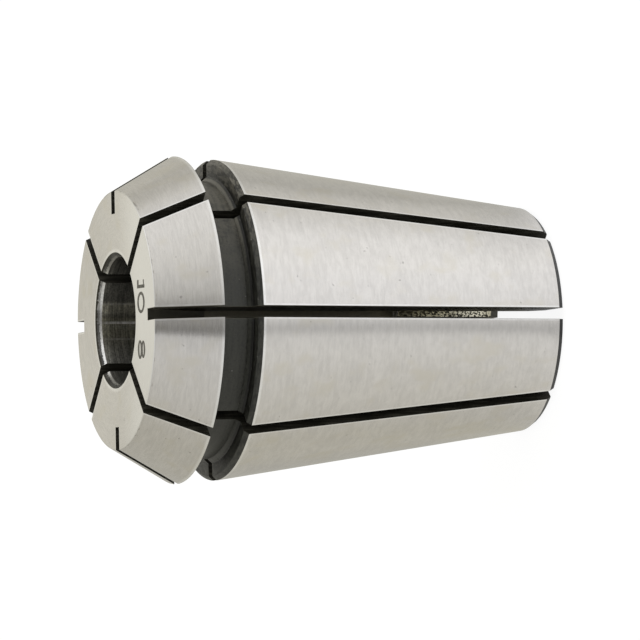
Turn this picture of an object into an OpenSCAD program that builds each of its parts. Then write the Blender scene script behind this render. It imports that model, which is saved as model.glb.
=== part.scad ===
// Tapping collet: a hardened steel sleeve, turned and ground outside and bored inside.
// Saw slots from both ends let it close on a round shank, and a square at the rear drives the shank.
// The rear face lies on the XY plane and the axis is Z, with the head at the top.

/* [Overall] */
// Overall length, from the rear face to the front face
total_l = 34.4; // [32:0.1:40]

/* [Head] */
// Largest diameter, at the back edge of the head
head_d = 26; // [25:0.1:28]
// Length of the head's cone
head_l = 4.77; // [4:0.01:6]
// Half angle of the head's cone, which the clamping nut presses on
head_angle = 30; // [25:1:35]
// Chamfer at the back edge of the head
head_edge = 0.08; // [0.05:0.01:0.2]
// Chamfer round the front face
face_edge = 0.06; // [0.05:0.01:0.2]

/* [Groove] */
// Diameter of the groove's floor
groove_d = 22; // [20:0.1:24]
// Width of the groove, from wall to wall
groove_w = 2.86; // [2:0.01:4]
// Radius of the fillet between the floor and the rear wall
groove_fillet = 0.34; // [0.2:0.01:0.8]

/* [Body] */
// Diameter of the ground taper where it would meet the groove's rear wall
taper_d = 25.48; // [25:0.01:26]
// Half angle of the ground taper, which seats in the holder
taper_angle = 8; // [7:0.1:9]
// Chamfer between the taper and the groove's rear wall
shoulder_edge = 0.36; // [0.1:0.01:0.6]
// Chamfer round the rear face
rear_edge = 0.4; // [0.1:0.01:0.6]

/* [Bore] */
// Diameter of the round bore, which grips the shank
bore_d = 10; // [9:0.1:12]
// Chamfer at the mouth of the bore
bore_edge = 0.35; // [0.1:0.05:0.8]

/* [Square socket] */
// Width across the flats of the square, from the rear end
square_w = 8; // [6.5:0.1:8.5]
// Depth of the square
square_l = 9.2; // [7:0.1:12]
// How far the square's rounded corners lie outside the bore
corner_relief = 0.3; // [0.1:0.05:0.6]
// Countersink at the square's mouth, measured on its flats
square_edge = 0.85; // [0.2:0.05:1]

/* [Slots] */
// Number of slots from each end
slot_count = 4; // [3:1:6]
// Width of the saw cut
slot_w = 0.89; // [0.5:0.01:1.2]
// Diameter of the slitting saw
saw_d = 50; // [40:1:63]
// How far the saw runs into the hollow, past the flats of the square
saw_overrun = 1; // [0.5:0.1:2]
// Web round the bore that the rear slots leave on the front face
front_web = 3.4; // [2:0.1:4]
// Web round the bore that the front slots leave on the rear face
rear_web = 2.3; // [1:0.1:2.8]

/* [Hidden] */
$fn = 180;
// Length by which each cut runs past the face that it opens on
cut_over = 1;
// Heights of the groove's two walls above the rear face
head_z = total_l - head_l;
shoulder_z = head_z - groove_w;
// Radii of the head, the face, the groove, the bore and the square's corners
head_r = head_d / 2;
face_r = head_r - head_l * tan(head_angle);
groove_r = groove_d / 2;
bore_r = bore_d / 2;
corner_r = bore_r + corner_relief;
// Radius at which a saw cut is deepest, radius of the saw, and distance of its axis from the bore's
slot_floor_r = square_w / 2 - saw_overrun;
saw_r = saw_d / 2;
saw_axis_r = slot_floor_r + saw_r;

// Radius of the ground taper at a height above the rear face
function taper_r(z) = taper_d / 2 - (shoulder_z - z) * tan(taper_angle);

// Travel that the saw's axis stops short of the far face, so that a web of this thickness stays there
function saw_stop(web) = sqrt(pow(saw_r, 2) - pow(saw_axis_r - bore_r - web, 2));

// Half section of the turned outside, with the radius along X and the height along Y
module outside_section() {
    polygon([
        [0, 0],
        [taper_r(0) - rear_edge, 0],
        [taper_r(rear_edge), rear_edge],
        [taper_r(shoulder_z - shoulder_edge), shoulder_z - shoulder_edge],
        [taper_r(shoulder_z - shoulder_edge) - shoulder_edge, shoulder_z],
        [groove_r, shoulder_z],
        [groove_r, head_z],
        [head_r - head_edge, head_z],
        [head_r - head_edge * tan(head_angle), head_z + head_edge],
        [face_r + face_edge * tan(head_angle), total_l - face_edge],
        [face_r - face_edge, total_l],
        [0, total_l]
    ]);
}

// Cove that fills the corner between the groove's floor and its rear wall
module groove_cove() {
    translate([groove_r, shoulder_z])
        difference() {
            square(groove_fillet);
            translate([groove_fillet, groove_fillet])
                circle(r = groove_fillet);
        }
}

// Solid blank, before it is bored and slit
module turned_blank() {
    rotate_extrude() {
        outside_section();
        groove_cove();
    }
}

// Round bore from the end of the square to the front face, with its chamfered mouth
module bore() {
    translate([0, 0, square_l])
        cylinder(r = bore_r, h = total_l - square_l + cut_over);
    translate([0, 0, total_l - bore_edge])
        cylinder(r1 = bore_r, r2 = bore_r + bore_edge + cut_over, h = bore_edge + cut_over);
}

// Square with rounded corners from the rear face to the bore, with its countersunk mouth
module square_socket() {
    intersection() {
        translate([-square_w / 2, -square_w / 2, -cut_over])
            cube([square_w, square_w, square_l + cut_over]);
        translate([0, 0, -cut_over])
            cylinder(r = corner_r, h = square_l + cut_over);
    }
    translate([0, 0, -cut_over])
        cylinder(
            r1 = square_w / 2 + square_edge + cut_over,
            r2 = square_w / 2,
            h = square_edge + cut_over
        );
}

// One saw cut along +X that opens on the rear face and runs out near the front face.
// The slitting saw enters straight, and its round edge leaves a web of the given thickness.
module saw_cut(web) {
    saw_z = total_l - saw_stop(web);
    translate([0, slot_w / 2, 0])
        rotate([90, 0, 0])
            linear_extrude(slot_w) {
                translate([slot_floor_r, -cut_over])
                    square([saw_r, saw_z + cut_over]);
                translate([saw_axis_r, saw_z])
                    circle(r = saw_r);
            }
}

// Slots from the rear, which run out near the front face and are opposite the square's flats
module rear_slots() {
    for (i = [0 : slot_count - 1])
        rotate([0, 0, i * 360 / slot_count])
            saw_cut(front_web);
}

// Slots from the front, half way between the others, which run out near the rear face
module front_slots() {
    translate([0, 0, total_l])
        mirror([0, 0, 1])
            for (i = [0 : slot_count - 1])
                rotate([0, 0, (i + 0.5) * 360 / slot_count])
                    saw_cut(rear_web);
}

module collet() {
    color("gainsboro")
        difference() {
            turned_blank();
            bore();
            square_socket();
            rear_slots();
            front_slots();
        }
}

collet();
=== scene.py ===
import math

import bmesh
import bpy
from mathutils import Matrix, Vector


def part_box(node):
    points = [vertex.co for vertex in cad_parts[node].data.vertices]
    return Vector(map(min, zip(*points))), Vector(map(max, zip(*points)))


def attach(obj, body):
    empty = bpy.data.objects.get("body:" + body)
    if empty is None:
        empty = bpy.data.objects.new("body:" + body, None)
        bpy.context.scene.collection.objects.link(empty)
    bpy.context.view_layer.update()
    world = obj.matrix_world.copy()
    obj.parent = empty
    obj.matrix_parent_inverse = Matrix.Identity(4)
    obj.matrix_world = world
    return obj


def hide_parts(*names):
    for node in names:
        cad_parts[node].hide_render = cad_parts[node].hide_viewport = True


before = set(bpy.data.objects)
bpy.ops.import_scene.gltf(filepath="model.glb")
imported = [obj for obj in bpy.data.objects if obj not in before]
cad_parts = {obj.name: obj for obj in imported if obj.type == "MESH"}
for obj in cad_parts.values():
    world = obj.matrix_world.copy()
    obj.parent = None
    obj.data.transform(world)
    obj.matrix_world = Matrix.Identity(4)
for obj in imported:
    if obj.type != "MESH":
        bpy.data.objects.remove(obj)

bl_info = {
    "name": "Tapping Collet",
    "version": (1, 0, 0),
    "blender": (4, 5, 0),
    "location": "View3D > Sidebar > Collet",
    "description": "Ground and blackened finish of a slotted tapping collet, with its studio",
    "category": "Add Mesh",
}

MM = 0.001
BODY = "root"
NODE = "collet"
CAD_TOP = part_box(NODE)[1].z
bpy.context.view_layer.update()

# Length in metres by which the sleeve stays below the solids, so that rounding never lifts it out.
ROUNDING = 0.00000001

# How far each cutter runs past the face that it opens on, radii of the blank's first hole and of
# the hollow in the cutters, and heights of the mesh's rings up the taper, in millimetres.
OVER = 1
HOLE = 2
CORE = 0.5
TAPER_RINGS = (6, 11, 16, 21)

# Number of parts in a corner of the socket, in the arc of a saw cut and in the ring of a numeral.
CORNER_PARTS = 8
SAW_PARTS = 48
RING_PARTS = 40

# Angle by which the mesh's columns stay clear of a slot's edges, and turn from which an edge is
# broken.
COLUMN_MARGIN = math.radians(0.4)
SHARP_TURN = math.radians(25)

# Least parts of a unit normal by which a face leans, looks mostly to one side, and is a wall.
LEANS = 0.3
LOOKS = 0.5
WALL = 0.8

# Distances from a slot, from the groove's edges and from the mouth over which the polish of a
# worn edge and a painted highlight along it come in, in millimetres.
SLOT_POLISH_AND_HIGHLIGHT = (0.2, 0.08)
GROOVE_POLISH_AND_HIGHLIGHT = (0.26, 0.1)
MOUTH_POLISH_AND_HIGHLIGHT = (0.35, 0.12)

# Red, green and blue of the ground steel's warmer clouds, as shares of its own.
WARM_CLOUD = (0.97, 0.955, 0.9)

# How much faster the lines round the axis follow the radius than the height, so that they
# show on the faces, the cone and the taper alike.
RING_SLANT = -1.5

# Brightness of the studio round the object, as (azimuth from the camera in degrees,
# level, warmth). Positive azimuths lie towards +X.
CARDS = [
    (-179, 0.685, 0.75), (-130, 0.485, 0.8), (-105, 0.496, 0.8),
    (-73, 0.585, 0.4), (-56, 0.611, 0.3), (-30, 0.646, 0.1), (-14, 0.60, 0.0), (-12.4, 0.28, 0.0),
    (-8, 0.195, 0.25), (-2, 0.31, 0.2), (8, 0.345, 0.2), (11.8, 0.39, 0.2), (18, 0.4, 0.25),
    (20.5, 0.5, 0.25), (36, 0.625, 0.15), (58, 0.754, 0.2), (77, 0.823, 0.1), (90, 0.866, 0.1),
    (105, 0.776, 0.1), (112, 0.72, 0.3),
    (123, 0.554, 0.5), (138, 0.52, 0.6), (156, 0.63, 0.8), (179, 0.685, 0.75),
]
FLOOR_CARDS = [
    (-179, 0.471, 1.0), (-140, 0.461, 0.7), (-115, 0.52, 0.85), (-95, 0.521, 0.85),
    (-80, 0.55, 0.6), (-58, 0.628, 0.5), (-41, 0.661, 0.35), (-22, 0.72, 0.2),
    (-12.5, 0.72, 0.1), (-10, 0.66, 0.1), (-7.5, 0.55, 0.0), (-5.5, 0.53, 0.0), (-3, 0.575, 0.0),
    (-1, 0.65, 0.0), (10, 0.902, -0.1), (28, 0.973, -0.1), (41, 0.996, 0.0), (61, 0.955, 0.0),
    (74, 0.825, 0.1), (85, 0.735, 0.25), (101, 0.645, 0.4), (115, 0.50, 0.5), (145, 0.523, 0.7),
    (179, 0.471, 1.0),
]

# Share of the shade that the sleeve leaves on the floor close to it, in the same form.
FLOOR_SHADE = [
    (-179, 0, 0), (-90, 0, 0), (-68, 0.45, 0), (-45, 0, 0), (35, 0.1, 0), (47, 0.5, 0),
    (60, 1, 0), (95, 1, 0), (105, 0.6, 0), (122, 0, 0), (179, 0, 0),
]

# Light scuffs down the bore, and the tones of its wall between them with painted light and
# shade round it, in the same form.
BORE_SCUFFS = [
    (-179, 0, 0), (-178.7, 0, 0), (-178.1, 1, 0), (-177.4, 1, 0), (-176.8, 0, 0), (-163.2, 0, 0),
    (-162.4, 0.7, 0), (-161.6, 0, 0), (-100, 0, 0), (-99, 0.5, 0), (-98, 0, 0), (60, 0, 0),
    (61, 0.4, 0), (62, 0, 0), (164.2, 0, 0), (165.2, 0.7, 0), (166, 0, 0), (179, 0, 0),
]
BORE_TONES_AND_LIGHT = [
    (-179, 0.26, 1.8), (-166, 0.32, 1.6), (-158, 0.32, 1.2), (-142, 0.44, 0.7), (-132, 0.44, 0.7),
    (-126, 0.2, 0.7), (-90, 0.16, 0.7), (0, 0.12, 0.8), (110, 0.12, 0.8), (128, 0.16, 0.8),
    (134, 0.22, 0.9), (148, 0.24, 0.9), (162, 0.24, 0.9), (165, 0.52, 1.4), (172.5, 0.42, 1.4),
    (175.5, 0.2, 1.3), (179, 0.26, 1.8),
]

# Painted light and shade round the chamfer at the bore's mouth, and round the lip where it
# meets the bore and is worn bright, with painted highlights, in the same form.
MOUTH_LIGHT_AND_SHADE = [
    (-179, 0.28, 0.3), (-168, 0.12, 0.3), (-150, 0.11, 0.3), (-133, 0.13, 0.3), (-126, 0.09, 0.5),
    (0, 0.09, 0.5), (126, 0.09, 0.5), (133, 0.3, 0.3), (148, 0.42, 0.3), (163, 0.45, 0.3),
    (172, 0.35, 0.3), (179, 0.28, 0.3),
]
LIP_WEAR_AND_HIGHLIGHT = [
    (-179, 0.5, 0.3), (-168, 0.6, 0.3), (-155, 1.0, 0.1), (-133, 1.0, 0.1), (-127, 0.9, 0.2),
    (-116, 0.35, 0.4), (0, 0.3, 0.5), (122, 0.3, 0.5), (130, 0.5, 0.4), (140, 0.8, 0.2),
    (160, 0.85, 0.2), (172, 0.5, 0.3), (179, 0.5, 0.3),
]


def length_property(name, description, default):
    """Length in metres that a user can change."""
    return bpy.props.FloatProperty(
        name=name, description=description, default=default, unit="LENGTH")


def angle_property(name, description, degrees):
    """Angle that a user can change, with its default in degrees."""
    return bpy.props.FloatProperty(
        name=name, description=description, default=math.radians(degrees), subtype="ANGLE")


def colour_property(name, description, default):
    """Colour that a user can change."""
    return bpy.props.FloatVectorProperty(
        name=name, description=description, default=default, subtype="COLOR", min=0, max=1)


class ColletSizes(bpy.types.PropertyGroup):
    """Sizes of the sleeve, in metres, from the rear face at height zero."""

    length: length_property("Length", "From the rear face to the front face", CAD_TOP - ROUNDING)
    head_radius: length_property("Head radius", "Radius at the back edge of the head", 0.01293)
    head_length: length_property("Head length", "Length of the head's cone", 0.00477)
    head_angle: angle_property("Head angle", "Half angle of the head's cone", 30)
    groove_radius: length_property("Groove radius", "Radius of the groove's floor", 0.011)
    groove_width: length_property("Groove width", "From wall to wall", 0.00286)
    groove_foot: length_property("Groove foot", "Band between the floor and the rear wall", 0.00034)
    groove_undercut: length_property(
        "Groove undercut", "Depth of the fine line at the front of the foot", 0.00004)
    taper_radius: length_property(
        "Taper radius", "Radius of the taper where it would meet the groove", 0.01274)
    taper_angle: angle_property("Taper angle", "Half angle of the ground taper", 8)
    shoulder_chamfer: length_property(
        "Shoulder chamfer", "Between the taper and the groove's rear wall", 0.00036)
    rear_chamfer: length_property(
        "Rear chamfer", "Length of the chamfer round the rear face", 0.00042)
    rear_step: length_property("Rear step", "How far the rear chamfer goes inwards", 0.0003)
    bore_radius: length_property("Bore radius", "Radius of the round bore", 0.005)
    bore_chamfer: length_property(
        "Bore chamfer", "Width of the chamfer at the mouth of the bore", 0.00035)
    mouth_depth: length_property(
        "Mouth depth", "Depth of the chamfer at the mouth of the bore", 0.00045)
    square_width: length_property("Square width", "Across the flats of the socket", 0.008)
    square_depth: length_property("Square depth", "Depth of the socket from the rear face", 0.0092)
    corner_radius: length_property(
        "Corner radius", "Distance of the socket's round corners from the axis", 0.0053)
    square_countersink: length_property(
        "Socket countersink", "At the socket's mouth, on its flats", 0.0011)
    slot_width: length_property("Slot width", "Width of each saw cut", 0.00089)
    slot_floor: length_property("Slot floor", "Distance of the deepest cut from the axis", 0.003)
    saw_radius: length_property("Saw radius", "Radius of the slitting saw", 0.025)
    front_web: length_property(
        "Front web", "Radius that the rear slots leave whole on the front face", 0.0084)
    rear_web: length_property(
        "Rear web", "Radius that the front slots leave whole on the rear face", 0.0073)
    slot_count: bpy.props.IntProperty(
        name="Slots", description="Number of slots from each end", default=4, min=2)
    edge_round: length_property("Edge break", "Width of the small break on every edge", 0.00002)
    column_angle: angle_property(
        "Column angle", "Largest angle between two columns of the mesh", 1.5)


class NumeralSizes(bpy.types.PropertyGroup):
    """Sizes of the plain numerals on the front face, in metres."""

    baseline: length_property("Baseline", "Distance of the numerals' feet from the axis", 0.0058)
    height: length_property("Height", "Height of a numeral", 0.0019)
    upright: length_property("Upright stroke", "Width of the upright strokes", 0.00024)
    level: length_property("Level stroke", "Width of the level strokes", 0.00042)
    depth: length_property("Depth", "Depth that the numerals are etched to", 0.00002)
    sunk: length_property("Sunk", "How far the dark floor lies below the face", 0.000005)
    one: length_property("Start of 1", "Where the 1 starts, from the near slot towards +X", 0.00295)
    nought: length_property(
        "Start of 0", "Where the 0 starts, from the near slot towards +X", 0.002)
    eight: length_property(
        "Start of 8", "Where the 8 starts, from the near slot towards +X", -0.00173)
    turn: angle_property("Turn", "Angle of the numerals from the near slot, towards -X", 1.2)


class FinishLooks(bpy.types.PropertyGroup):
    """Colours of the finishes."""

    ground: colour_property("Ground steel", "Bare ground steel", (0.778, 0.756, 0.725))
    # Also used as a painted highlight along the edges and on the front face's near side
    edge: colour_property(
        "Worn edge", "Ground steel where it is polished along an edge", (0.98, 0.97, 0.95))
    black: colour_property(
        "Blackened steel", "Steel left dark by the heat treatment", (0.056, 0.057, 0.047))
    brown: colour_property("Brown tone", "Where the dark skin is thin", (0.19, 0.179, 0.145))
    slot: colour_property("Sawn steel", "Dark walls of the slots", (0.026, 0.025, 0.019))
    bore: colour_property("Bore", "Dark honed wall of the bore", (0.24, 0.228, 0.186))
    socket: colour_property(
        "Socket steel", "Bright grains of the broached socket", (1.0, 0.955, 0.77))
    mark: colour_property("Etched mark", "Dark numerals", (0.12, 0.112, 0.095))


class StudioLooks(bpy.types.PropertyGroup):
    """Camera and light of the studio."""

    turn: angle_property("Turn", "Angle of the camera from the near slot, towards -X", 3.16)
    elevation: angle_property("Elevation", "Angle of the camera above the floor", 19.766)
    roll: angle_property("Roll", "Small roll of the camera", -0.136)
    distance: length_property("Distance", "From the camera to the point that it looks at", 0.372)
    aim_height: length_property(
        "Aim height", "Height of the point that the camera looks at", 0.017315)
    lens: bpy.props.FloatProperty(
        name="Lens", description="Focal length on a sensor 36 mm wide", default=262.4)
    lamp_power: bpy.props.FloatProperty(
        name="Lamp power", description="Power of the overhead soft lamp, in watts", default=1.2)


def columns(clear_low, clear_high, count, step):
    """Angles of a mesh's columns round the axis: none falls where a slot's edge runs."""
    pitch = 2 * math.pi / count
    free = pitch - 2 * clear_high
    parts = math.ceil(free / step)
    offsets = [-clear_low, 0, clear_low]
    offsets += [clear_high + free * i / parts for i in range(parts + 1)]
    return [k * pitch + offset for k in range(count) for offset in offsets]


def slot_columns(sizes, low, high):
    """Columns for a surface between two radii, in millimetres, that the slots cut."""
    half = sizes.slot_width / MM / 2
    return columns(
        math.asin(half / high) - COLUMN_MARGIN, math.asin(half / low) + COLUMN_MARGIN,
        2 * sizes.slot_count, sizes.column_angle)


def revolve(bm, section, angles):
    """Closed ring with the given section of (radius, height) points."""
    rings = [
        [bm.verts.new((r * math.cos(a), r * math.sin(a), z)) for r, z in section]
        for a in angles
    ]
    for ring, after in zip(rings, rings[1:] + rings[:1]):
        for i in range(len(section)):
            j = (i + 1) % len(section)
            bm.faces.new((ring[i], ring[j], after[j], after[i]))


def extrude(bm, outline, low, high, place):
    """Prism with a closed outline of (x, y) points from low to high, moved by a matrix."""
    under = [bm.verts.new(place @ Vector((x, y, low))) for x, y in outline]
    over = [bm.verts.new(place @ Vector((x, y, high))) for x, y in outline]
    bm.faces.new(under)
    bm.faces.new(over)
    for i in range(len(outline)):
        j = (i + 1) % len(outline)
        bm.faces.new((under[i], under[j], over[j], over[i]))


def arc(centre, radius, start, end, parts):
    """Points along an arc, with angles in radians."""
    turn = [start + (end - start) * i / parts for i in range(parts + 1)]
    return [(centre[0] + radius * math.cos(t), centre[1] + radius * math.sin(t)) for t in turn]


def new_object(name, bm):
    """Object from mesh code, with every face turned outwards."""
    bmesh.ops.recalc_face_normals(bm, faces=bm.faces)
    mesh = bpy.data.meshes.new(name)
    bm.to_mesh(mesh)
    bm.free()
    made = bpy.data.objects.new(name, mesh)
    bpy.context.scene.collection.objects.link(made)
    return made


def outside_section(sizes):
    """Outside of the blank as (radius, height) points in millimetres, from the rear up."""
    length = sizes.length / MM
    head_r = sizes.head_radius / MM
    head_l = sizes.head_length / MM
    head_z = length - head_l
    shoulder_z = head_z - sizes.groove_width / MM
    groove_r = sizes.groove_radius / MM
    foot = sizes.groove_foot / MM
    line = sizes.groove_undercut / MM
    chamfer = sizes.shoulder_chamfer / MM
    rear = sizes.rear_chamfer / MM
    slope = math.tan(sizes.taper_angle)

    def taper(z):
        return sizes.taper_radius / MM - (shoulder_z - z) * slope

    points = [(taper(rear) - sizes.rear_step / MM, 0), (taper(rear), rear)]
    points += [(taper(z), z) for z in TAPER_RINGS]
    shoulder_r = taper(shoulder_z - chamfer)
    points += [(shoulder_r, shoulder_z - chamfer), (shoulder_r - chamfer, shoulder_z)]
    points += [(groove_r + foot, shoulder_z), (groove_r + line, shoulder_z + foot)]
    points += [(groove_r - line, shoulder_z + foot + line)]
    points += [(groove_r, shoulder_z + foot + 2 * line), (groove_r, head_z), (head_r, head_z)]
    points += [(head_r - head_l * math.tan(sizes.head_angle), length)]
    return points


def blank(sizes):
    """Turned blank with a narrow hole down its axis, which the bore and the socket widen."""
    section = outside_section(sizes)
    radii = [r for r, z in section]
    angles = slot_columns(sizes, min(radii), max(radii))
    bm = bmesh.new()
    revolve(bm, section + [(HOLE, sizes.length / MM), (HOLE, 0)], angles)
    return new_object("sleeve", bm)


def bore_cutter(sizes):
    """Round bore above the socket, with its chamfered mouth."""
    bottom, top = sizes.square_depth / MM, sizes.length / MM
    r, chamfer = sizes.bore_radius / MM, sizes.bore_chamfer / MM
    depth = sizes.mouth_depth / MM
    wide = r + chamfer * (depth + OVER) / depth
    section = [
        (CORE, bottom), (r, bottom), (r, top - depth), (wide, top + OVER), (CORE, top + OVER),
    ]
    bm = bmesh.new()
    revolve(bm, section, slot_columns(sizes, r, r + chamfer))
    return new_object("bore_cutter", bm)


def socket_cutter(sizes):
    """Square with round corners, below the bore."""
    half = sizes.square_width / MM / 2
    corner = sizes.corner_radius / MM
    reach = math.acos(half / corner)
    quarter = math.pi / 2
    outline = []
    for k in range(4):
        outline += arc(
            (0, 0), corner, k * quarter + reach, (k + 1) * quarter - reach, CORNER_PARTS)
    bm = bmesh.new()
    extrude(bm, outline, -OVER, sizes.square_depth / MM, Matrix.Identity(4))
    return new_object("socket_cutter", bm)


def countersink_cutter(sizes):
    """Cone at the socket's mouth."""
    half = sizes.square_width / MM / 2
    depth = sizes.square_countersink / MM
    section = [(CORE, -OVER), (half + depth + OVER, -OVER), (half, depth), (CORE, depth)]
    bm = bmesh.new()
    revolve(bm, section, slot_columns(sizes, half, half + depth))
    return new_object("countersink_cutter", bm)


def saw_circle(sizes, from_front):
    """Where the saw stops: its radius, its axis's distance from the sleeve's, and its travel."""
    web = (sizes.rear_web if from_front else sizes.front_web) / MM
    saw = sizes.saw_radius / MM
    axis = sizes.slot_floor / MM + saw
    return saw, axis, sizes.length / MM - math.sqrt(saw ** 2 - (axis - web) ** 2)


def saw_path(sizes, from_front):
    """Outline of one saw cut as (distance from the axis, travel from its open end)."""
    saw, axis, stop = saw_circle(sizes, from_front)
    far_end = sizes.length / MM + OVER
    reach = sizes.head_radius / MM + OVER
    end = math.asin((far_end - stop) / saw)
    curve = arc((axis, stop), saw, math.pi, math.pi - end, SAW_PARTS)
    return [(axis - saw, -OVER)] + curve + [(reach, far_end), (reach, -OVER)]


def slot_cutters(sizes):
    """All the saw cuts: those from the rear, and those from the front half way between."""
    half = sizes.slot_width / MM / 2
    upright = Matrix.Rotation(math.pi / 2, 4, "X")
    flip = Matrix.Translation((0, 0, sizes.length / MM)) @ Matrix.Scale(-1, 4, (0, 0, 1))
    bm = bmesh.new()
    for k in range(2 * sizes.slot_count):
        turn = Matrix.Rotation(k * math.pi / sizes.slot_count, 4, "Z")
        from_front = k % 2
        place = turn @ flip @ upright if from_front else turn @ upright
        extrude(bm, saw_path(sizes, from_front), -half, half, place)
    return new_object("slot_cutters", bm)


def cut(piece, cutter, overlapping=False, operation="DIFFERENCE"):
    """Takes the cutter out of the piece, or keeps only what both have."""
    modifier = piece.modifiers.new("cut", "BOOLEAN")
    modifier.operation = operation
    modifier.solver = "EXACT"
    modifier.use_self = overlapping
    modifier.object = cutter
    bake(piece)
    bpy.data.objects.remove(cutter)


def bake(piece):
    """Replaces the piece's mesh with what its modifiers make of it."""
    graph = bpy.context.evaluated_depsgraph_get()
    result = bpy.data.meshes.new_from_object(
        piece.evaluated_get(graph), preserve_all_data_layers=True, depsgraph=graph)
    piece.modifiers.clear()
    piece.data = result


def weld(piece, gap):
    """Joins points that lie closer together than the gap, so that no sliver is left."""
    shortest = gap / 4
    bm = bmesh.new()
    bm.from_mesh(piece.data)
    bmesh.ops.remove_doubles(bm, verts=bm.verts, dist=gap)
    bmesh.ops.dissolve_degenerate(bm, edges=bm.edges, dist=shortest)
    bm.to_mesh(piece.data)
    bm.free()


def break_edges(piece, width):
    """Breaks each sharp edge."""
    bevel = piece.modifiers.new("edge_break", "BEVEL")
    bevel.width = width
    bevel.segments = 2
    bevel.limit_method = "ANGLE"
    bevel.angle_limit = SHARP_TURN
    bevel.use_clamp_overlap = False
    bake(piece)


def smooth(piece):
    """Shades the piece smoothly, with its big faces kept flat."""
    for face in piece.data.polygons:
        face.use_smooth = True
    piece.modifiers.new("normals", "WEIGHTED_NORMAL")
    bake(piece)


def azimuth_shade(tree, x, y, stops, turn):
    """Colour that changes with the direction round the axis, through a colour ramp.

    A stop is (azimuth in degrees, level, warmth), and turn is the azimuth's zero from -Y.
    """
    angle = calc(tree, "ARCTAN2", x, calc(tree, "MULTIPLY", y, -1))
    share = add(tree, "ShaderNodeMapRange")
    share.inputs["From Min"].default_value = -math.pi
    share.inputs["From Max"].default_value = math.pi
    feed(tree, share.inputs["Value"], angle)
    ramp = add(tree, "ShaderNodeValToRGB")
    feed(tree, ramp.inputs[0], share.outputs[0])
    ramp.color_ramp.interpolation = "LINEAR"
    places = [(((math.radians(azimuth) - turn) / (2 * math.pi) + 0.5) % 1, level, warm)
              for azimuth, level, warm in stops]
    places.sort()
    while len(ramp.color_ramp.elements) < len(places):
        ramp.color_ramp.elements.new(0.5)
    for element, (place, level, warm) in zip(ramp.color_ramp.elements, places):
        green, blue = (level * (1 - loss * warm) for loss in (0.03, 0.16))
        element.position = place
        element.color = (level, green, blue, 1)
    return ramp.outputs[0]


def add(tree, kind, **settings):
    """New node with its settings."""
    node = tree.nodes.new(kind)
    for key, value in settings.items():
        setattr(node, key, value)
    return node


def feed(tree, socket, source):
    """Links a node's socket to an output, or sets it to a plain value."""
    if isinstance(source, bpy.types.NodeSocket):
        tree.links.new(source, socket)
    else:
        socket.default_value = source


def calc(tree, operation, *sources):
    """Result of a sum or a function of up to three numbers."""
    node = add(tree, "ShaderNodeMath", operation=operation)
    for socket, source in zip(node.inputs, sources):
        feed(tree, socket, source)
    return node.outputs[0]


def times(tree, product, *factors):
    """Product of two or more numbers."""
    for factor in factors:
        product = calc(tree, "MULTIPLY", product, factor)
    return product


def mean(tree, first, second, share):
    """Mean of two numbers, in which the first has the given share."""
    return calc(tree, "MULTIPLY_ADD", first, share, times(tree, second, 1 - share))


def apart(tree, first, second):
    """How far two numbers lie apart."""
    return calc(tree, "ABSOLUTE", calc(tree, "SUBTRACT", first, second))


def parts_of(tree, vector):
    """The three parts of a vector."""
    node = add(tree, "ShaderNodeSeparateXYZ")
    feed(tree, node.inputs[0], vector)
    return node.outputs


def radius(tree, x, y):
    """Distance from the axis, in the unit of the two sides."""
    return calc(tree, "SQRT", calc(tree, "MULTIPLY_ADD", x, x, calc(tree, "POWER", y, 2)))


def ease(tree, source, low, high, start=0.0, end=1.0):
    """Goes smoothly from start to end while the source goes from low to high."""
    node = add(tree, "ShaderNodeMapRange", interpolation_type="SMOOTHSTEP")
    feed(tree, node.inputs["Value"], source)
    node.inputs["From Min"].default_value = low
    node.inputs["From Max"].default_value = high
    node.inputs["To Min"].default_value = start
    node.inputs["To Max"].default_value = end
    return node.outputs["Result"]


def tint(tree, share, first, second):
    """Colour between two others, which are outputs or (red, green, blue)."""
    node = add(tree, "ShaderNodeMix", data_type="RGBA")
    feed(tree, node.inputs[0], share)
    for socket, colour in zip(node.inputs[6:8], (first, second)):
        plain = not isinstance(colour, bpy.types.NodeSocket)
        feed(tree, socket, (*colour, 1) if plain else colour)
    return node.outputs[2]


def dimmed(tree, colour, factor):
    """Colour with all its parts multiplied by the same number."""
    node = add(tree, "ShaderNodeVectorMath", operation="SCALE")
    feed(tree, node.inputs[0], colour)
    feed(tree, node.inputs["Scale"], factor)
    return node.outputs[0]


def shaded(colour, factor):
    """Plain colour with all its parts multiplied by the same number, up to white."""
    return [min(factor * part, 1) for part in colour]


def stretched(tree, vector, factors):
    """Vector with each part multiplied by its own factor."""
    node = add(tree, "ShaderNodeVectorMath", operation="MULTIPLY")
    feed(tree, node.inputs[0], vector)
    node.inputs[1].default_value = factors
    return node.outputs[0]


def grain(tree, vector, detail=2.0):
    """Noise with a mean of 0.5, which mostly lies between 0.3 and 0.7."""
    node = add(tree, "ShaderNodeTexNoise")
    feed(tree, node.inputs["Vector"], vector)
    node.inputs["Scale"].default_value = 1
    node.inputs["Detail"].default_value = detail
    node.inputs["Roughness"].default_value = 0.6
    return node.outputs["Fac"]


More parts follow.
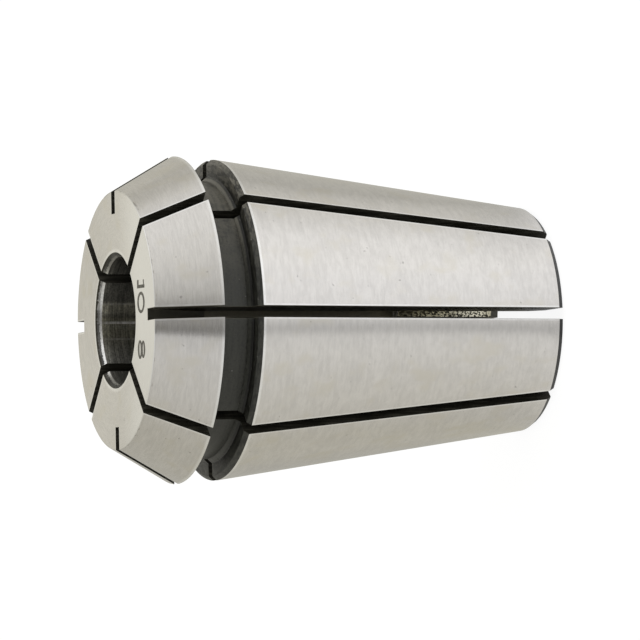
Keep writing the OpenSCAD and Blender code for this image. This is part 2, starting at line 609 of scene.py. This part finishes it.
class Spot:
    """Place of a point on the steel, in millimetres, as the outputs of nodes."""

    def __init__(self, tree):
        self.tree = tree
        place = add(tree, "ShaderNodeTexCoord").outputs["Object"]
        self.vector = stretched(tree, place, (1 / MM, 1 / MM, 1 / MM))
        self.x, self.y, self.z = parts_of(tree, self.vector)
        self.r = radius(tree, self.x, self.y)

    def noise(self, across, along, detail=2.0):
        """Noise with so many cells a millimetre across the axis and along it."""
        vector = stretched(self.tree, self.vector, (across, across, along))
        return grain(self.tree, vector, detail)

    def streaks(self, fineness, breaks, detail=2.0):
        """Noise in lines round the axis, with so many a millimetre and so many breaks a radian."""
        tree = self.tree
        along = calc(tree, "MULTIPLY_ADD", self.r, RING_SLANT, self.z)
        node = add(tree, "ShaderNodeCombineXYZ")
        for socket, part in zip(node.inputs, (self.x, self.y)):
            feed(tree, socket, times(tree, calc(tree, "DIVIDE", part, self.r), breaks))
        feed(tree, node.inputs["Z"], times(tree, along, fineness))
        return grain(tree, node.outputs[0], detail)


def finish_material(name, colour, metallic, roughness, anisotropy=0.0):
    """Material with plain values, its tree and its shader. Anisotropy grinds it round the axis."""
    material = bpy.data.materials.new(name)
    material.use_nodes = True
    tree = material.node_tree
    shader = tree.nodes["Principled BSDF"]
    shader.inputs["Base Color"].default_value = (*colour, 1)
    shader.inputs["Metallic"].default_value = metallic
    shader.inputs["Roughness"].default_value = roughness
    if anisotropy:
        quarter_turn = 0.25
        shader.inputs["Anisotropic"].default_value = anisotropy
        shader.inputs["Anisotropic Rotation"].default_value = quarter_turn
        tangent = add(tree, "ShaderNodeTangent", direction_type="RADIAL", axis="Z")
        feed(tree, shader.inputs["Tangent"], tangent.outputs[0])
    return material, tree, shader


def surface(tree, shader, colour, height, depth, strength):
    """Colour of a finish, and its fine relief with a depth in millimetres."""
    feed(tree, shader.inputs["Base Color"], colour)
    bump = add(tree, "ShaderNodeBump")
    bump.inputs["Strength"].default_value = strength
    bump.inputs["Distance"].default_value = depth * MM
    feed(tree, bump.inputs["Height"], height)
    feed(tree, shader.inputs["Normal"], bump.outputs[0])


def slot_distance(tree, spot, sizes):
    """Distance from the edge of the nearest slot, in millimetres, and the turn round the axis."""
    step = math.pi / sizes.slot_count
    turn = calc(tree, "ARCTAN2", spot.y, spot.x)
    share = calc(tree, "DIVIDE", turn, step)
    off = calc(tree, "SUBTRACT", share, calc(tree, "ROUND", share))
    across = times(tree, calc(tree, "SINE", times(tree, off, step)), spot.r)
    distance = calc(tree, "SUBTRACT", calc(tree, "ABSOLUTE", across), sizes.slot_width / MM / 2)
    return distance, turn


def edge_polish_and_highlight(tree, spot, sizes):
    """Share of polish and painted highlight, up to 1 along the edges of the slots, the groove
    and the mouth.
    """
    head_z = (sizes.length - sizes.head_length) / MM
    shoulder_z = head_z - (sizes.groove_width + sizes.shoulder_chamfer) / MM
    mouth_r = (sizes.bore_radius + sizes.bore_chamfer) / MM
    distance, turn = slot_distance(tree, spot, sizes)
    side = calc(tree, "COSINE", times(tree, turn, sizes.slot_count))
    from_front = calc(tree, "LESS_THAN", side, 0)
    past_web = calc(tree, "GREATER_THAN", spot.r, sizes.front_web / MM)
    cut_here = calc(tree, "MAXIMUM", from_front, past_web)
    polish_and_highlight = times(tree, ease(tree, distance, *SLOT_POLISH_AND_HIGHLIGHT), cut_here)
    for z in (head_z, shoulder_z):
        polish_and_highlight = calc(tree, "MAXIMUM", polish_and_highlight, ease(tree, apart(tree, spot.z, z), *GROOVE_POLISH_AND_HIGHLIGHT))
    mouth = (mouth_r + reach for reach in MOUTH_POLISH_AND_HIGHLIGHT)
    polish_and_highlight = calc(tree, "MAXIMUM", polish_and_highlight, ease(tree, spot.r, *mouth))
    return times(tree, polish_and_highlight, ease(tree, spot.noise(1.3, 1.3), 0.3, 0.6, 0.6))


def ground_steel(looks, sizes):
    """Bare steel with fine grinding lines round the axis, specks and polished edges, with painted
    highlights along the edges and on the face's near side.
    """
    material, tree, shader = finish_material("ground_steel", looks.ground, 1.0, 0.2, 0.95)
    spot = Spot(tree)
    fine = spot.streaks(6.5, 8, 3)
    mottle = spot.streaks(3.4, 14, 3)
    lines = mean(tree, fine, spot.streaks(1.3, 3.5), 0.6)
    tone = mean(tree, lines, mottle, 0.58)
    dark, light = (shaded(looks.ground, factor) for factor in (0.925, 1.07))
    colour = tint(tree, ease(tree, tone, 0.35, 0.65), dark, light)
    warm = [part * share for part, share in zip(looks.ground, WARM_CLOUD)]
    colour = tint(tree, ease(tree, spot.noise(0.5, 0.35), 0.5, 0.72, 0, 0.8), colour, warm)
    specks = ease(tree, spot.noise(2.2, 2.2, 1), 0.74, 0.8, 0, 0.3)
    colour = tint(tree, specks, colour, looks.black)

    # Brown traces along the edge of the face, and a painted highlight on its near side (-Y)
    rim_height, face_depth = 1, 0.05
    length = sizes.length / MM
    face_r = (sizes.head_radius - sizes.head_length * math.tan(sizes.head_angle)) / MM
    rim = ease(tree, apart(tree, spot.r, face_r), 0.2, 0.03)
    at_rim = calc(tree, "GREATER_THAN", spot.z, length - rim_height)
    traces = times(tree, rim, ease(tree, mottle, 0.52, 0.66, 0, 0.5), at_rim)
    colour = tint(tree, traces, colour, looks.brown)
    on_face = calc(tree, "GREATER_THAN", spot.z, length - face_depth)
    near = times(tree, ease(tree, spot.y, -0.5, -6.5), on_face)
    colour = tint(tree, near, colour, looks.edge)
    # Polish and a painted highlight along the edges of the slots, the groove and the mouth
    colour = tint(tree, edge_polish_and_highlight(tree, spot, sizes), colour, looks.edge)
    feed(tree, shader.inputs["Roughness"], ease(tree, fine, 0.3, 0.7, 0.17, 0.23))
    surface(tree, shader, colour, lines, 0.004, 0.6)
    return material


def blackened_steel(looks, sizes):
    """Dark skin of the groove and the chamfers, mottled, with small bright flecks, painted shade
    and a painted highlight.
    """
    material, tree, shader = finish_material("blackened_steel", looks.black, 0.0, 0.4)
    spot = Spot(tree)
    fine = spot.noise(5, 5, 3)
    cloud = ease(tree, spot.noise(0.7, 0.9), 0.3, 0.6, 0.35)
    # Browner towards +X
    brown = times(tree, ease(tree, spot.x, 1, 10.5), cloud)
    colour = tint(tree, brown, looks.black, looks.brown)
    depth = mean(tree, fine, spot.streaks(4, 5, 3), 0.6)
    # Mottled, and darker as painted shade where the relief is low
    shadow = shaded(looks.black, 0.25)
    colour = tint(tree, ease(tree, depth, 0.32, 0.58, 0.75, 0), colour, shadow)

    # Painted highlight on the crest of the groove's foot, on the +X side, and painted shade in dark
    # blots on the wall behind it
    crest_height, line_reach = 0.27, 1.7
    wall_z = (sizes.length - sizes.head_length - sizes.groove_width) / MM
    foot_r = (sizes.groove_radius + sizes.groove_foot) / MM
    crest_highlight = ease(tree, apart(tree, spot.z, wall_z + crest_height), 0.12, 0.04)
    crest_highlight = times(tree, crest_highlight, ease(tree, spot.x, 3, 9, 0, 0.6))
    colour = tint(tree, crest_highlight, colour, looks.bore)
    behind = ease(tree, spot.z, wall_z + 0.2, wall_z + 0.1)
    blots = spot.streaks(2, 14, 3)
    shade_blots = times(tree, behind, ease(tree, blots, 0.44, 0.54, 0.8, 0))
    colour = tint(tree, shade_blots, colour, shadow)
    # Painted shade at the foot of the wall, with a ragged edge
    ragged = calc(tree, "MULTIPLY_ADD", calc(tree, "ADD", blots, fine), line_reach, spot.r)
    out = calc(tree, "SUBTRACT", ragged, foot_r + line_reach)
    colour = tint(tree, times(tree, behind, ease(tree, out, 0.42, 0.28)), colour, shadow)
    flecks = ease(tree, spot.noise(3.6, 3.6, 1), 0.76, 0.82, 0, 0.5)
    colour = tint(tree, flecks, colour, looks.ground)
    feed(tree, shader.inputs["Roughness"], ease(tree, fine, 0.3, 0.7, 0.3, 0.5))
    surface(tree, shader, colour, depth, 0.03, 0.5)
    return material


def sawn_steel(looks, sizes):
    """Dark walls of the slots, with marks along the saw's way. Painted light makes the near slot
    lighter.
    """
    material, tree, shader = finish_material("sawn_steel", looks.slot, 0.0, 0.45)
    spot = Spot(tree)
    marks = spot.noise(4.5, 0.45, 3)
    colour = tint(tree, ease(tree, marks, 0.42, 0.7, 0, 0.3), looks.slot, looks.brown)
    length = sizes.length / MM
    # Painted light on the near slot's walls, strongest 1 to 3 mm below the face, fainter deeper in
    front = ease(tree, spot.z, length - 11, length - 3, 0.4, 0.85)
    at_face = ease(tree, spot.z, length - 0.1, length - 1.0, 0.55)
    beside = ease(tree, calc(tree, "ABSOLUTE", spot.x), 0.9, 0.6)
    near_slot_light = times(tree, front, at_face, beside, ease(tree, spot.y, -1, -3))
    colour = tint(tree, near_slot_light, colour, looks.bore)
    flecks = ease(tree, spot.noise(3.5, 2.2), 0.72, 0.8, 0, 0.6)
    colour = tint(tree, flecks, colour, looks.bore)
    feed(tree, shader.inputs["Roughness"], ease(tree, marks, 0.3, 0.7, 0.35, 0.6))
    shader.inputs["Specular IOR Level"].default_value = 0.2
    surface(tree, shader, colour, marks, 0.02, 0.5)
    return material


def bore_steel(looks, sizes, turn):
    """Dark honed wall of the bore, with lines round it, light scuffs down it, and painted light
    and shade round it and along it.
    """
    material, tree, shader = finish_material("bore_steel", looks.bore, 0.6, 0.3, 0.6)
    spot = Spot(tree)
    length = sizes.length / MM
    lines = spot.streaks(9, 2, 3)
    # Painted light and shade round the wall, with its warmth
    colour = azimuth_shade(tree, spot.x, spot.y, BORE_TONES_AND_LIGHT, turn)
    # Lines, grain and patches, and painted light that is brighter towards the mouth
    for source, low, high, start, end in (
            (lines, 0.36, 0.68, 0.65, 1.5),
            (spot.noise(7, 7), 0.35, 0.65, 0.75, 1.25),
            (spot.streaks(0.8, 2.5), 0.4, 0.7, 1.1, 0.75),
            (spot.z, length - 1.3, length - 0.45, 0.7, 1.5)):
        colour = dimmed(tree, colour, ease(tree, source, low, high, start, end))
    scuffs = azimuth_shade(tree, spot.x, spot.y, BORE_SCUFFS, turn)
    scuffs = times(tree, scuffs, ease(tree, spot.noise(1.5, 4), 0.4, 0.6, 0.45))
    colour = tint(tree, scuffs, colour, looks.ground)

    # Plain, and painted lighter where it lies deep and shows only through the slots
    deep = ease(tree, spot.z, length - 4.5, length - 7, 0, 0.85)
    colour = tint(tree, deep, colour, shaded(looks.bore, 1.5))
    honed = times(tree, lines, calc(tree, "SUBTRACT", 1, deep))
    surface(tree, shader, colour, honed, 0.006, 0.6)
    return material


def mouth_steel(looks, sizes, turn):
    """Chamfer of the bore's mouth: dark outside, and worn bright where it meets the bore, with
    painted light and shade round it.
    """
    material, tree, shader = finish_material("mouth_steel", looks.black, 1.0, 0.3)
    spot = Spot(tree)
    rough = spot.noise(5, 5, 3)
    height = calc(tree, "SUBTRACT", spot.r, sizes.bore_radius / MM)
    share = calc(tree, "DIVIDE", height, sizes.bore_chamfer / MM)
    ragged = calc(tree, "MULTIPLY_ADD", calc(tree, "SUBTRACT", rough, 0.5), 0.7, share)
    # Painted light and shade round the chamfer, and a painted highlight round its worn lip
    tone = azimuth_shade(tree, spot.x, spot.y, MOUTH_LIGHT_AND_SHADE, turn)
    tone = dimmed(tree, tone, ease(tree, spot.streaks(6, 5, 3), 0.35, 0.65, 0.6, 1.4))
    lip = azimuth_shade(tree, spot.x, spot.y, LIP_WEAR_AND_HIGHLIGHT, turn)
    lip = dimmed(tree, lip, ease(tree, rough, 0.35, 0.6, 0.8, 1.1))
    colour = tint(tree, ease(tree, ragged, 0.42, 0.3), tone, lip)
    # Darker along the outer edge of the chamfer
    rim = shaded(looks.bore, 0.25)
    colour = tint(tree, ease(tree, ragged, 0.66, 0.77), colour, rim)
    surface(tree, shader, colour, rough, 0.02, 0.6)
    return material


def socket_steel(looks, sizes):
    """Torn and grainy flats of the broached square, with painted shade towards their inner end."""
    material, tree, shader = finish_material("socket_steel", looks.socket, 1.0, 0.24)
    spot = Spot(tree)
    depth = sizes.square_depth / MM
    torn = spot.noise(6.2, 5.2, 1)
    colour = tint(tree, ease(tree, torn, 0.47, 0.53, 0.03, 0.88), looks.slot, looks.socket)
    cloud = ease(tree, spot.noise(1.2, 0.8), 0.45, 0.7, 0, 0.3)
    colour = tint(tree, cloud, colour, looks.brown)
    # Painted shade towards the inner end of the socket
    inner = ease(tree, spot.z, depth - 2.2, depth - 1, 0, 0.55)
    colour = tint(tree, inner, colour, looks.slot)
    surface(tree, shader, colour, torn, 0.02, 0.4)
    return material


def etched_mark(looks):
    """Dark etched floor of the numerals."""
    material, tree, shader = finish_material("etched_mark", looks.mark, 0.3, 0.5)
    pits = Spot(tree).noise(9, 9)
    dark, light = (shaded(looks.mark, factor) for factor in (0.55, 1.7))
    colour = tint(tree, ease(tree, pits, 0.35, 0.65), dark, light)
    surface(tree, shader, colour, pits, 0.01, 0.5)
    return material


def sleeve_materials(looks, sizes, turn):
    """The finishes, in the order of the sleeve's material slots."""
    return [
        ground_steel(looks, sizes),
        blackened_steel(looks, sizes),
        sawn_steel(looks, sizes),
        bore_steel(looks, sizes, turn),
        mouth_steel(looks, sizes, turn),
        socket_steel(looks, sizes),
    ]


class COLLET_OT_sleeve(bpy.types.Operator):
    """Build the slotted sleeve from its turned blank, and give each surface its finish"""

    bl_idname = "collet.sleeve"
    bl_label = "Sleeve"

    def execute(self, context):
        sizes = context.scene.collet_sizes
        marks = context.scene.collet_numerals
        turn = context.scene.collet_studio.turn
        piece = blank(sizes)
        cut(piece, bore_cutter(sizes))
        cut(piece, socket_cutter(sizes))
        cut(piece, countersink_cutter(sizes))
        cut(piece, slot_cutters(sizes))
        weld(piece, sizes.edge_round / MM)
        break_edges(piece, sizes.edge_round / MM)
        floor, top = (sizes.length - marks.depth) / MM, sizes.length / MM
        cut(piece, strokes(marks, 0, floor, top + OVER), overlapping=True)
        smooth(piece)
        for material in sleeve_materials(context.scene.collet_finish, sizes, turn):
            piece.data.materials.append(material)
        sort_finishes(piece, sizes)
        piece.data.transform(Matrix.Scale(MM, 4))
        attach(piece, BODY)
        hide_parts(NODE)
        return {"FINISHED"}


GROUND, BLACK, SAWN, BORE, MOUTH, SOCKET = range(6)


def sort_finishes(piece, sizes):
    """Gives each face its finish by where it lies, with the mesh still in millimetres."""
    for face in piece.data.polygons:
        face.material_index = finish_of(face.center, face.normal, sizes)


def finish_of(centre, normal, sizes):
    """Finish of a face, by its centre and its normal."""
    slack, skin, numerals_end = 0.015, 0.001, 9
    length = sizes.length / MM
    head_z = length - sizes.head_length / MM
    shoulder_z = head_z - (sizes.groove_width + sizes.shoulder_chamfer) / MM
    mouth_r = (sizes.bore_radius + sizes.bore_chamfer) / MM + slack
    mouth_z = length - sizes.mouth_depth / MM - slack
    r = math.hypot(centre.x, centre.y)
    outward = (normal.x * centre.x + normal.y * centre.y) / r
    if in_slot(centre, normal, sizes):
        return SAWN
    if r > mouth_r:
        pocket = length - 2 * slack < centre.z < length - skin and r < numerals_end
        groove = shoulder_z + slack < centre.z < head_z + slack
        chamfer = outward > LEANS and normal.z < -LEANS
        rear = centre.z < sizes.rear_chamfer / MM - slack and chamfer
        return BLACK if groove or rear or pocket else GROUND
    if centre.z > mouth_z and normal.z > LEANS and outward < -LEANS:
        return MOUTH
    if outward < -WALL:
        return SOCKET if centre.z < sizes.square_depth / MM else BORE
    if normal.z < -LEANS and (outward < -LEANS or centre.z > slack):
        return BLACK
    return SOCKET if outward < -LOOKS else GROUND


def in_slot(centre, normal, sizes):
    """Whether a face is a wall or the round floor of a slot, or the break of its edge."""
    wall_slack, floor_slack = 0.01, 0.04
    step = math.pi / sizes.slot_count
    half = (sizes.slot_width / 2 + sizes.edge_round) / MM + wall_slack
    nearest = round(math.atan2(centre.y, centre.x) / step)
    along = Vector((math.cos(nearest * step), math.sin(nearest * step), 0))
    side = Vector((-along.y, along.x, 0))
    if abs(centre.dot(side)) > half:
        return False
    if abs(normal.dot(side)) > LEANS:
        return True
    from_front = nearest % 2
    saw, axis, stop = saw_circle(sizes, from_front)
    travel = sizes.length / MM - centre.z if from_front else centre.z
    return abs(math.hypot(axis - centre.dot(along), travel - stop) - saw) < floor_slack


def ring_prism(bm, centre, radii, widths, low, high):
    """Upright oval band, with its outer radii and its widths given along X and Y."""
    loops = []
    for i in range(RING_PARTS):
        turn = 2 * math.pi * i / RING_PARTS
        corners = []
        for share, z in ((0, low), (0, high), (1, high), (1, low)):
            x = centre[0] + (radii[0] - share * widths[0]) * math.cos(turn)
            y = centre[1] + (radii[1] - share * widths[1]) * math.sin(turn)
            corners.append(bm.verts.new((x, y, z)))
        loops.append(corners)
    for loop, after in zip(loops, loops[1:] + loops[:1]):
        for i in range(4):
            j = (i + 1) % 4
            bm.faces.new((loop[i], loop[j], after[j], after[i]))


def bar_prism(bm, start, end, width, low, high):
    """Upright bar between two points."""
    run = Vector((end[0] - start[0], end[1] - start[1])).normalized() * width / 2
    side = Vector((-run.y, run.x))
    outline = [
        (start[0] - side.x, start[1] - side.y), (end[0] - side.x, end[1] - side.y),
        (end[0] + side.x, end[1] + side.y), (start[0] + side.x, start[1] + side.y),
    ]
    extrude(bm, outline, low, high, Matrix.Identity(4))


def strokes(marks, inset, low, high):
    """Strokes of the numerals 10 and 8, narrowed by an inset, between two heights."""
    tall = marks.height / MM
    upright, level = (width / MM - 2 * inset for width in (marks.upright, marks.level))
    half = marks.level / MM / 2
    one, nought, eight = (-edge / MM for edge in (marks.one, marks.nought, marks.eight))
    bm = bmesh.new()

    # The 1, whose flag and foot start a little after the numeral does
    stem, flag, foot_end = one + 0.55, one + 0.03, one + 0.65
    flag_drop, stem_width = 0.3, 1.1 * upright
    bar_prism(bm, (stem, inset), (stem, tall - inset), stem_width, low, high)
    bar_prism(bm, (stem, tall - half), (flag, tall - flag_drop), upright, low, high)
    bar_prism(bm, (flag, half), (foot_end, half), level, low, high)

    # Rings of the 0 and the 8 as (middle from the left, middle from below, half width, half height)
    for middle, rise, wide, high_half in (
            (nought + 0.84, tall / 2, 0.84, tall / 2),
            (eight + 0.74, 0.57, 0.74, 0.57),
            (eight + 0.74, tall - 0.52, 0.68, 0.52)):
        ring_prism(
            bm, (middle, rise), (wide - inset, high_half - inset), (upright, level), low, high)
    outward = Vector((-math.sin(marks.turn), -math.cos(marks.turn), 0))
    reading = Vector((-math.cos(marks.turn), math.sin(marks.turn), 0))
    place = Matrix((reading, outward, Vector((0, 0, 1)))).transposed().to_4x4()
    place.translation = outward * marks.baseline / MM
    bmesh.ops.transform(bm, matrix=place, verts=bm.verts)
    return new_object("strokes", bm)


class COLLET_OT_numerals(bpy.types.Operator):
    """Fill the etched pockets on the front face with the dark floor of the numerals"""

    bl_idname = "collet.numerals"
    bl_label = "Numerals"

    def execute(self, context):
        sizes = context.scene.collet_sizes
        marks = context.scene.collet_numerals
        inset, gap, over = 0.003, 0.001, 0.5
        low = (sizes.length - marks.depth) / MM + gap
        high = (sizes.length - marks.sunk) / MM
        reach = 4 * sizes.bore_radius / MM
        bm = bmesh.new()
        bmesh.ops.create_cube(bm, size=1)
        bmesh.ops.scale(bm, vec=(reach, reach, high - low), verts=bm.verts)
        bmesh.ops.translate(bm, vec=(0, 0, (low + high) / 2), verts=bm.verts)
        piece = new_object("numerals", bm)
        cut(piece, strokes(marks, inset, low - over, high + over), True, "INTERSECT")
        for face in piece.data.polygons:
            face.use_smooth = False
        piece.data.materials.append(etched_mark(context.scene.collet_finish))
        piece.data.transform(Matrix.Scale(MM, 4))
        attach(piece, BODY)
        return {"FINISHED"}


class COLLET_OT_stage(bpy.types.Operator):
    """Make the floor, the lights and the camera"""

    bl_idname = "collet.stage"
    bl_label = "Stage"

    def execute(self, context):
        studio = context.scene.collet_studio
        make_camera(studio)
        make_floor(studio)
        make_light(studio)
        make_world(studio)
        context.scene.view_settings.view_transform = "Standard"
        return {"FINISHED"}


def make_camera(studio):
    """Camera that looks down at the sleeve and lies on its side, so that +Z points left."""
    level = math.cos(studio.elevation)
    rise = math.sin(studio.elevation)
    side = Vector((-math.sin(studio.turn), -math.cos(studio.turn), 0))
    back = side * level + Vector((0, 0, rise))
    aim = Vector((0, 0, studio.aim_height))
    right = Vector((0, 0, -1))
    right = (right - back * right.dot(back)).normalized()
    up = back.cross(right)
    data = bpy.data.cameras.new("camera")
    data.sensor_width = 36
    data.lens = studio.lens
    data.clip_start = 0.01
    data.clip_end = 10
    camera = bpy.data.objects.new("camera", data)
    bpy.context.scene.collection.objects.link(camera)
    turned = Matrix((right, up, back)).transposed().to_4x4()
    camera.matrix_world = (
        Matrix.Translation(aim + back * studio.distance)
        @ turned @ Matrix.Rotation(studio.roll, 4, "Z"))
    bpy.context.scene.camera = camera


def straight_rays(tree):
    """Node of the light path, and 1 for the rays that come straight from the camera."""
    path = add(tree, "ShaderNodeLightPath")
    clear = calc(
        tree, "MAXIMUM", path.outputs["Is Camera Ray"], path.outputs["Is Transmission Ray"])
    return path, clear


def make_floor(studio):
    """Wide white floor, which keeps a faint shadow and looks shaded in the steel."""
    reach, shade_end, shade_full, most_shade = 3, 0.026, 0.011, 0.2
    plain_to_steel, plain_to_camera, lift_to_camera = 0.96, 0.8, 0.12
    bm = bmesh.new()
    bmesh.ops.create_grid(bm, x_segments=2, y_segments=2, size=reach)
    floor = new_object("floor", bm)
    material, tree, shader = finish_material("floor", (0.85, 0.85, 0.85), 0.0, 0.9)
    x, y = parts_of(tree, add(tree, "ShaderNodeTexCoord").outputs["Object"])[:2]
    shade = azimuth_shade(tree, x, y, FLOOR_CARDS, studio.turn)
    close = ease(tree, radius(tree, x, y), shade_end, shade_full, 0, most_shade)
    side = azimuth_shade(tree, x, y, FLOOR_SHADE, studio.turn)
    shade = tint(tree, times(tree, close, side), shade, (0, 0, 0))
    path, clear = straight_rays(tree)
    cards = add(tree, "ShaderNodeEmission")
    feed(tree, cards.inputs["Color"], tint(tree, clear, shade, (1, 1, 1)))
    seen = calc(tree, "MAXIMUM", clear, path.outputs["Is Glossy Ray"])
    share = calc(tree, "MULTIPLY_ADD", clear, plain_to_camera - plain_to_steel, plain_to_steel)
    lift = add(tree, "ShaderNodeEmission")
    feed(tree, lift.inputs["Strength"], times(tree, clear, lift_to_camera))
    mix = add(tree, "ShaderNodeMixShader")
    both = add(tree, "ShaderNodeAddShader")
    for socket, source in (
            (mix.inputs[0], times(tree, seen, share)),
            (mix.inputs[1], shader.outputs[0]),
            (mix.inputs[2], cards.outputs[0]),
            (both.inputs[0], mix.outputs[0]),
            (both.inputs[1], lift.outputs[0]),
            (tree.nodes["Material Output"].inputs["Surface"], both.outputs[0])):
        feed(tree, socket, source)
    floor.data.materials.append(material)


def make_light(studio):
    """Soft lamp overhead, which the steel doesn't mirror."""
    data = bpy.data.lights.new("overhead", "AREA")
    data.shape = "DISK"
    data.size = 0.8
    data.energy = studio.lamp_power
    lamp = bpy.data.objects.new("overhead", data)
    lamp.location = (0.25, -0.15, 0.9)
    lamp.rotation_euler = (-lamp.location).to_track_quat("-Z", "Y").to_euler()
    lamp.visible_glossy = False
    bpy.context.scene.collection.objects.link(lamp)


def make_world(studio):
    """Studio walls that the steel mirrors: brighter on the +X side, dark round the camera."""
    world = bpy.data.worlds.new("studio")
    world.use_nodes = True
    bpy.context.scene.world = world
    tree = world.node_tree
    background = tree.nodes["Background"]
    x, y = parts_of(tree, add(tree, "ShaderNodeTexCoord").outputs["Generated"])[:2]
    shade = azimuth_shade(tree, x, y, CARDS, studio.turn)
    clear = straight_rays(tree)[1]
    feed(tree, background.inputs["Color"], tint(tree, clear, shade, (1, 1, 1)))


class COLLET_PT_panel(bpy.types.Panel):
    """Buttons that build the collet and its studio"""

    bl_idname = "COLLET_PT_panel"
    bl_label = "Collet"
    bl_space_type = "VIEW_3D"
    bl_region_type = "UI"
    bl_category = "Collet"

    def draw(self, context):
        for maker in MAKERS:
            self.layout.operator(maker.bl_idname)


GROUPS = {
    "collet_sizes": ColletSizes,
    "collet_numerals": NumeralSizes,
    "collet_finish": FinishLooks,
    "collet_studio": StudioLooks,
}
MAKERS = (COLLET_OT_stage, COLLET_OT_sleeve, COLLET_OT_numerals)
CLASSES = (*GROUPS.values(), *MAKERS, COLLET_PT_panel)


def register():
    for kind in CLASSES:
        bpy.utils.register_class(kind)
    for name, group in GROUPS.items():
        setattr(bpy.types.Scene, name, bpy.props.PointerProperty(type=group))


def unregister():
    for name in GROUPS:
        delattr(bpy.types.Scene, name)
    for kind in reversed(CLASSES):
        bpy.utils.unregister_class(kind)


def main():
    register()
    bpy.ops.collet.stage()
    bpy.ops.collet.sleeve()
    bpy.ops.collet.numerals()


if __name__ == "__main__":
    main()
